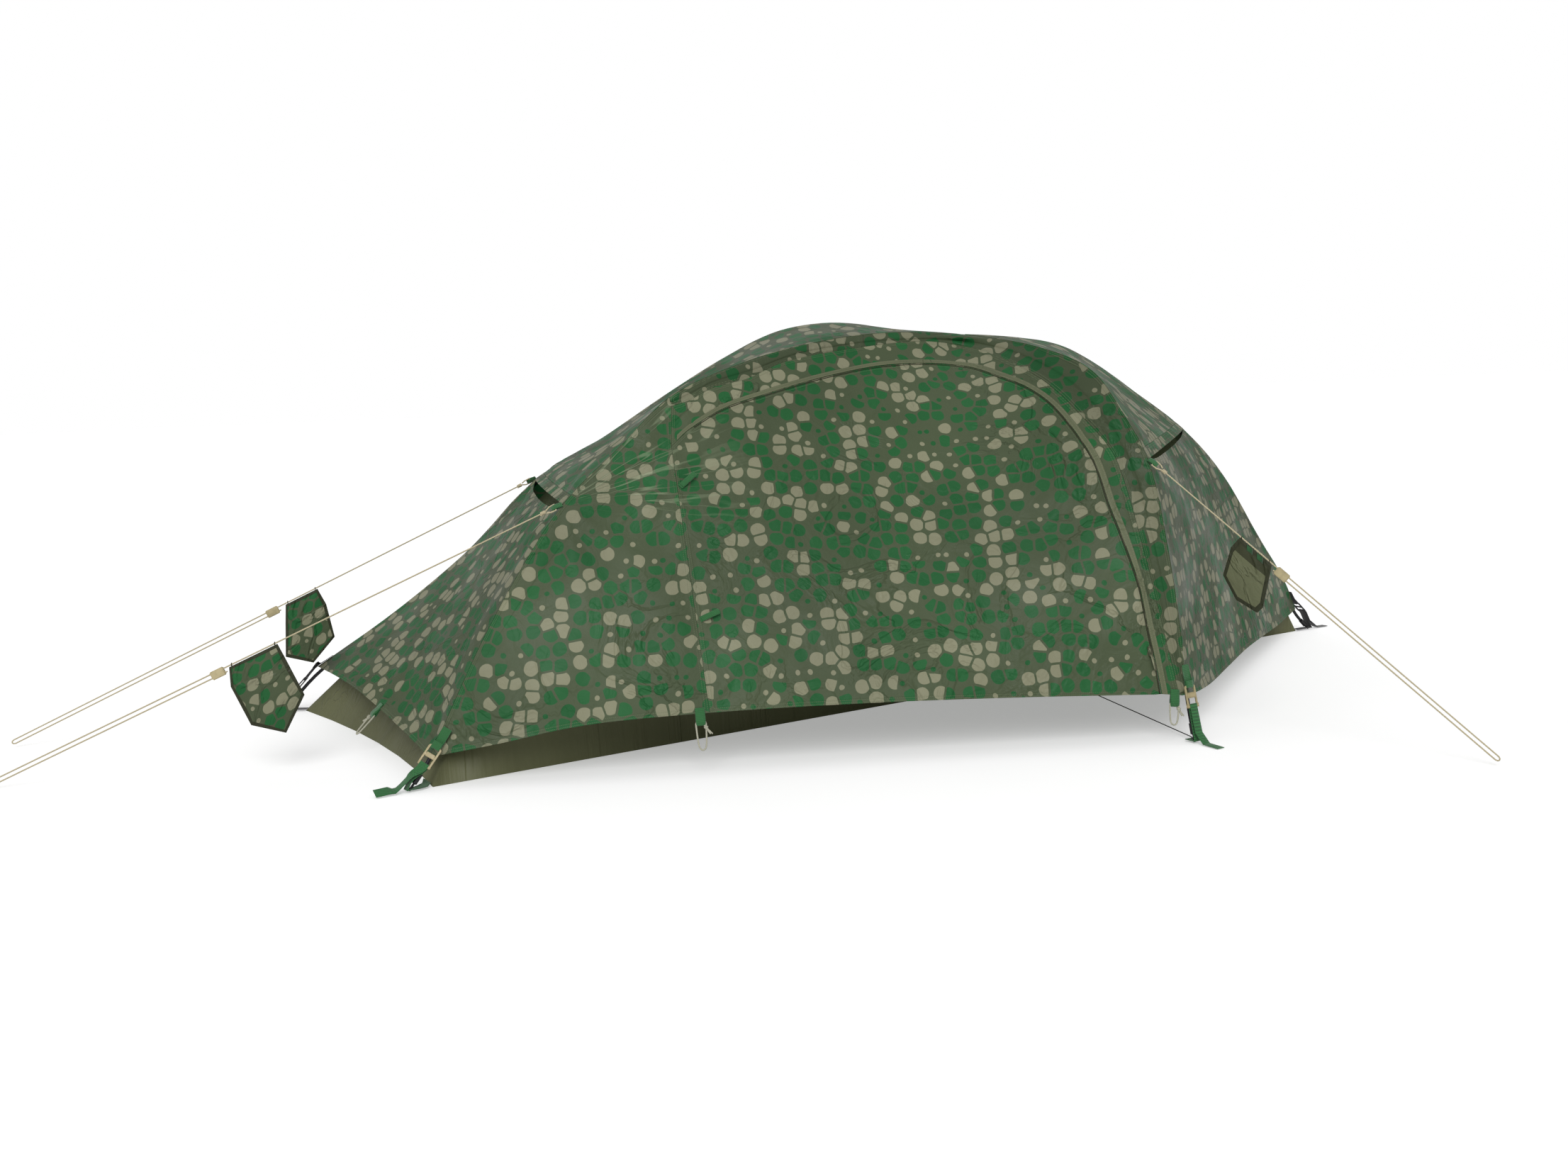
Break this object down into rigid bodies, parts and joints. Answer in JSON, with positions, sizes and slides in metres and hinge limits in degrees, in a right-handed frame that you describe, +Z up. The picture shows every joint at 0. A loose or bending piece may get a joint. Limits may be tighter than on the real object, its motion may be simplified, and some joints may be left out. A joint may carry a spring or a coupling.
{
  "type": "trekking tent",
  "caption": "Low one-person trekking tent on two crossed poles, with a zipped arched door, hooded vents at the ends, guy lines with pouches and a bathtub floor inside.",
  "frame": {"origin": "middle of the tent's footprint without its guy lines, on the ground", "axes": "+X along the tent to the right as the door is seen, -Y out of the door side, +Z up"},
  "size_m": [3.4358, 1.507, 0.8978],
  "materials": {
    "fly_fabric": "printed ripstop with a pebble camouflage",
    "flap_fabric": "plain olive beige binding",
    "floor_fabric": "coated dark olive",
    "inner_fabric": "plain olive inner cloth",
    "webbing": "bright green webbing",
    "buckle_plastic": "tan moulded plastic",
    "pole_aluminium": "dark anodised",
    "tip_plastic": "black moulded",
    "guy_cord": "braided sand cord",
    "pale_cord": "braided pale cord",
    "black_cord": "black elastic cord and webbing",
    "slider_plastic": "tan moulded plastic",
    "zip_metal": "dull die-cast"
  },
  "bodies": {
    "tent": {"fly_front_left_panel": "fly_fabric", "fly_front_arch_panel": "fly_fabric", "fly_brow_band": "fly_fabric", "door_zip_flap": "flap_fabric", "fly_left_end_panel": "fly_fabric", "fly_right_end_panel": "fly_fabric", "left_hood_hem": "fly_fabric", "fly_left_roof_panel": "fly_fabric", "right_hood_hem": "fly_fabric", "fly_right_roof_panel": "fly_fabric", "fly_back_panel": "fly_fabric", "pole_a_section_1": "pole_aluminium", "pole_a_section_2": "pole_aluminium", "pole_a_section_3": "pole_aluminium", "pole_tip_left_front": "tip_plastic", "pole_tip_right_back": "tip_plastic", "pole_b_section_1": "pole_aluminium", "pole_b_section_2": "pole_aluminium", "pole_b_section_3": "pole_aluminium", "pole_tip_right_front": "tip_plastic", "pole_tip_left_back": "tip_plastic", "corner_strap_left_front": "webbing", "corner_buckle_left_front": "buckle_plastic", "foot_strap_left_front": "webbing", "corner_strap_right_front": "webbing", "corner_buckle_right_front": "buckle_plastic", "foot_strap_right_front": "webbing", "corner_strap_left_back": "black_cord", "corner_buckle_left_back": "tip_plastic", "foot_strap_left_back": "black_cord", "corner_strap_right_back": "black_cord", "corner_buckle_right_back": "tip_plastic", "foot_strap_right_back": "black_cord", "hem_tab_front": "webbing", "hem_tab_left": "webbing", "hem_tab_right": "webbing", "guy_webbing_left_front": "webbing", "guy_line_left_front": "guy_cord", "guy_webbing_left_back": "webbing", "guy_line_left_back": "guy_cord", "guy_webbing_right": "webbing", "guy_line_right": "guy_cord", "bathtub_floor": "floor_fabric", "inner_canopy": "inner_fabric", "front_tension_cord": "black_cord"},
    "door": {"door_panel": "fly_fabric"},
    "zip_slider": {"zip_slider": "zip_metal"},
    "zip_puller": {"zip_puller": "zip_metal"},
    "door_tieback_upper": {"door_tieback_upper": "webbing"},
    "door_tieback_lower": {"door_tieback_lower": "webbing"},
    "peg_loop_front": {"peg_loop_front": "pale_cord"},
    "peg_loop_left": {"peg_loop_left": "pale_cord"},
    "peg_loop_right": {"peg_loop_right": "pale_cord"},
    "guy_slider_left_front": {"guy_slider_left_front": "slider_plastic"},
    "storage_pouch_left_front": {"storage_pouch_left_front": "fly_fabric"},
    "guy_slider_left_back": {"guy_slider_left_back": "slider_plastic"},
    "storage_pouch_left_back": {"storage_pouch_left_back": "fly_fabric"},
    "guy_slider_right": {"guy_slider_right": "slider_plastic"},
    "storage_pouch_right": {"storage_pouch_right": "fly_fabric"}
  },
  "joints": [
    {"name": "door_hinge", "type": "hinge", "parent": "tent", "child": "door", "pos_m": [-0.4502, -0.47827, 0.12339], "axis": [0.0502, -0.4164, -0.9078], "range_deg": [0, 110]},
    {"name": "door_tieback_upper_hinge", "type": "hinge", "parent": "door", "child": "door_tieback_upper", "pos_m": [-0.46814, -0.27672, 0.56392], "axis": [0.6367, -0.2582, -0.7266], "range_deg": [0, 50]},
    {"name": "door_tieback_lower_hinge", "type": "hinge", "parent": "door", "child": "door_tieback_lower", "pos_m": [-0.4526, -0.39861, 0.30062], "axis": [0.325, -0.4045, -0.8549], "range_deg": [0, 50]},
    {"name": "zip_slider_slide", "type": "slide", "parent": "door", "child": "zip_slider", "axis": [-0.1141, 0.2433, 0.9632], "range_m": [0, 0.1376]},
    {"name": "zip_puller_hinge", "type": "hinge", "parent": "zip_slider", "child": "zip_puller", "pos_m": [0.47302, -0.51505, 0.18703], "axis": [-0.9916, 0.0313, -0.1253], "range_deg": [0, 100]},
    {"name": "peg_loop_front_hinge", "type": "hinge", "parent": "tent", "child": "peg_loop_front", "pos_m": [-0.4698, -0.48324, 0.1076], "axis": [0.9982, -0.0554, 0.0211], "range_deg": [-35, 35]},
    {"name": "peg_loop_left_hinge", "type": "hinge", "parent": "tent", "child": "peg_loop_left", "pos_m": [-1.13967, -0.08011, 0.084], "axis": [-0.3246, 0.9433, 0.0693], "range_deg": [-35, 35]},
    {"name": "peg_loop_right_hinge", "type": "hinge", "parent": "tent", "child": "peg_loop_right", "pos_m": [0.51758, -0.52839, 0.08434], "axis": [0.9922, 0.0115, -0.124], "range_deg": [-35, 35]},
    {"name": "guy_slider_left_front_slide", "type": "slide", "parent": "tent", "child": "guy_slider_left_front", "axis": [-0.9096, 0.1068, -0.4014], "range_m": [0, 0.06]},
    {"name": "storage_pouch_left_front_hinge", "type": "hinge", "parent": "tent", "child": "storage_pouch_left_front", "pos_m": [-1.4085, -0.22327, 0.23737], "axis": [-0.9096, 0.1068, -0.4014], "range_deg": [-60, 60]},
    {"name": "guy_slider_left_back_slide", "type": "slide", "parent": "tent", "child": "guy_slider_left_back", "axis": [-0.9129, -0.0639, -0.4031], "range_m": [0, 0.06]},
    {"name": "storage_pouch_left_back_hinge", "type": "hinge", "parent": "tent", "child": "storage_pouch_left_back", "pos_m": [-1.3512, 0.26304, 0.29019], "axis": [-0.9129, -0.0639, -0.4031], "range_deg": [-60, 60]},
    {"name": "guy_slider_right_slide", "type": "slide", "parent": "tent", "child": "guy_slider_right", "axis": [0.5709, -0.5265, -0.63], "range_m": [0, 0.06]},
    {"name": "storage_pouch_right_hinge", "type": "hinge", "parent": "tent", "child": "storage_pouch_right", "pos_m": [0.69897, -0.59382, 0.37567], "axis": [0.5709, -0.5265, -0.63], "range_deg": [-60, 60]}
  ]
}
